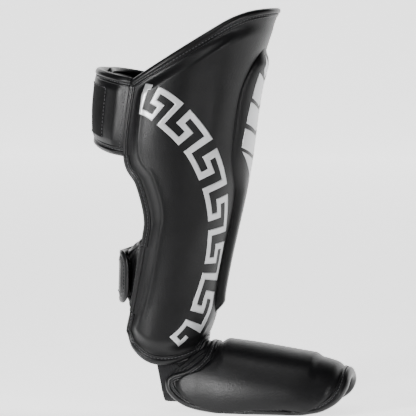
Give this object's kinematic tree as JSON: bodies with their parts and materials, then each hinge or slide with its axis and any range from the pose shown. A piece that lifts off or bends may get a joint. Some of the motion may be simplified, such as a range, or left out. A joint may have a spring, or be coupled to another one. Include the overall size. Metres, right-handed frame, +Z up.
{
  "type": "shin guard",
  "caption": "Padded shin and instep guard for kickboxing: a curved leg shell with a raised front bar, two wrap-around closures behind and a hinged foot cover with elastic foot straps.",
  "frame": {"origin": "middle of the guard's outline in plan, level with the lowest edge of the instep guard", "axes": "+X towards the toes, +Y the wearer's left, +Z up along the leg"},
  "size_m": [0.2762, 0.1674, 0.418],
  "materials": {
    "black_leather": "grained polyurethane leather, semi-gloss",
    "binding_tape": "folded leather-look tape with a row of stitches",
    "padding_foam": "closed-cell foam sheet",
    "lining_cloth": "knitted lining cloth",
    "hook_tape": "hook tape",
    "loop_tape": "loop tape",
    "elastic_webbing": "woven elastic",
    "silver_print": "satin silver film",
    "stitching": "sewing thread"
  },
  "bodies": {
    "shin_shell": {"shin_cover": "black_leather", "shin_outer_foam": "padding_foam", "shin_inner_foam": "padding_foam", "shin_lining": "lining_cloth", "side_foam_right": "padding_foam", "side_foam_left": "padding_foam", "shin_top_binding": "binding_tape", "side_binding_right": "black_leather", "side_binding_left": "black_leather", "shin_bottom_binding": "binding_tape", "bar_cover": "black_leather", "bar_foam": "padding_foam", "ankle_gusset": "elastic_webbing"},
    "upper_flap": {"upper_flap_cover": "black_leather", "upper_flap_pad": "padding_foam", "upper_flap_lining": "lining_cloth", "upper_flap_binding": "binding_tape", "upper_flap_hook_patch": "hook_tape"},
    "upper_left_wing": {"upper_left_wing_cover": "black_leather", "upper_left_wing_pad": "padding_foam", "upper_left_wing_lining": "lining_cloth", "upper_left_wing_binding": "binding_tape", "upper_left_wing_loop_patch": "loop_tape"},
    "lower_strap": {"lower_strap_cover": "black_leather", "lower_strap_pad": "padding_foam", "lower_strap_lining": "lining_cloth", "lower_strap_binding": "binding_tape", "lower_strap_hook_patch": "hook_tape"},
    "lower_right_wing": {"lower_right_wing_cover": "black_leather", "lower_right_wing_pad": "padding_foam", "lower_right_wing_lining": "lining_cloth", "lower_right_wing_binding": "binding_tape", "lower_right_wing_loop_patch": "loop_tape"},
    "instep_guard": {"instep_cover": "black_leather", "instep_top_foam": "padding_foam", "instep_base_foam": "padding_foam", "instep_lining": "lining_cloth", "instep_binding": "binding_tape", "arch_strap": "elastic_webbing", "toe_strap": "elastic_webbing", "arch_strap_tab_right": "binding_tape", "arch_strap_tab_left": "binding_tape"}
  },
  "joints": [
    {"name": "instep_flex", "type": "hinge", "parent": "shin_shell", "child": "instep_guard", "pos_m": [-0.013, 0, 0.073], "axis": [0, 1, 0], "range_deg": [-17, 15], "stiffness_Nm_per_rad": 1.2, "springref_deg": -5.16},
    {"name": "upper_flap_open", "type": "hinge", "parent": "shin_shell", "child": "upper_flap", "pos_m": [-0.0875, -0.0744, 0.305], "axis": [0.1389, -0.1048, 0.9847], "range_deg": [0, 110]},
    {"name": "upper_left_wing_open", "type": "hinge", "parent": "shin_shell", "child": "upper_left_wing", "pos_m": [-0.0875, 0.0626, 0.305], "axis": [-0.1387, -0.1135, -0.9838], "range_deg": [0, 33]},
    {"name": "lower_strap_open", "type": "hinge", "parent": "shin_shell", "child": "lower_strap", "pos_m": [-0.0845, 0.0508, 0.141], "axis": [-0.2298, -0.2271, -0.9464], "range_deg": [0, 110]},
    {"name": "lower_right_wing_open", "type": "hinge", "parent": "shin_shell", "child": "lower_right_wing", "pos_m": [-0.0845, -0.0386, 0.141], "axis": [0.2273, -0.2688, 0.936], "range_deg": [0, 33]}
  ],
  "couplings": [
    {"joint": "upper_left_wing_open", "follows": "upper_flap_open", "ratio": 0.3},
    {"joint": "lower_right_wing_open", "follows": "lower_strap_open", "ratio": 0.3}
  ]
}
